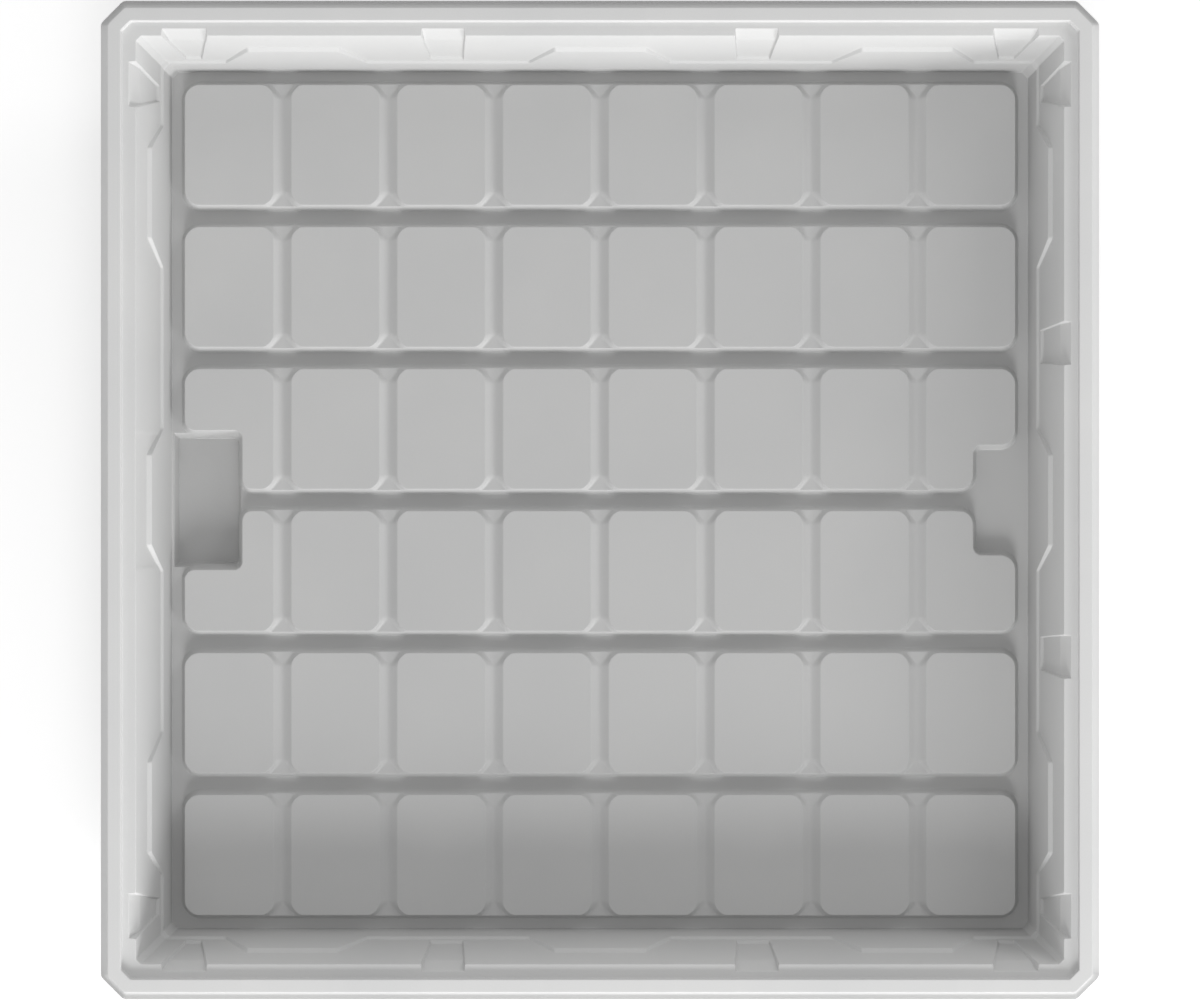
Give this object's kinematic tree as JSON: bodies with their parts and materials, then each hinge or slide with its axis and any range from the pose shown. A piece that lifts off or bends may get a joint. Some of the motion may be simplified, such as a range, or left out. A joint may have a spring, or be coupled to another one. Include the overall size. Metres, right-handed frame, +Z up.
{
  "type": "flood table tray",
  "caption": "Square plastic flood tray with raised plant pads, drain channels, a drain sump, a fill well and a recessed ledge inside a hooked rim.",
  "frame": {"origin": "under the centre of the tray, level with the underside of the drain sump", "axes": "+Z up, the way the tray opens; +X from the drain sump towards the fill well; +Y across, so that the frame is right-handed"},
  "size_m": [1.3166, 1.3166, 0.178],
  "materials": {
    "sheet": "satin, fine grain"
  },
  "bodies": {
    "root": {"rim_right": "sheet", "skirt_right": "sheet", "ledge_right": "sheet", "wall_right": "sheet", "rim_back": "sheet", "skirt_back": "sheet", "ledge_back": "sheet", "wall_back": "sheet", "rim_left": "sheet", "skirt_left": "sheet", "ledge_left": "sheet", "wall_left": "sheet", "rim_front": "sheet", "skirt_front": "sheet", "ledge_front": "sheet", "wall_front": "sheet", "edge_channel_right": "sheet", "edge_channel_back": "sheet", "edge_channel_front": "sheet", "edge_channel_left_back": "sheet", "edge_channel_left_front": "sheet", "edge_bank_back": "sheet", "edge_bank_front": "sheet", "cross_channel_1": "sheet", "bank_1_front": "sheet", "bank_1_back": "sheet", "cross_channel_2": "sheet", "bank_2_front": "sheet", "bank_2_back": "sheet", "cross_channel_3": "sheet", "bank_3_front": "sheet", "bank_3_back": "sheet", "cross_channel_4": "sheet", "bank_4_front": "sheet", "bank_4_back": "sheet", "cross_channel_5": "sheet", "bank_5_front": "sheet", "bank_5_back": "sheet", "pad_deck_1": "sheet", "pad_deck_2": "sheet", "pad_deck_3": "sheet", "pad_deck_4": "sheet", "pad_deck_5": "sheet", "pad_deck_6": "sheet", "drain_sump": "sheet", "sump_wall_left": "sheet", "sump_wall_right": "sheet", "sump_wall_front": "sheet", "sump_wall_back": "sheet", "sump_bank_front": "sheet", "sump_bank_back": "sheet", "fill_well": "sheet", "well_bank_front": "sheet", "well_bank_back": "sheet"}
  },
  "joints": []
}
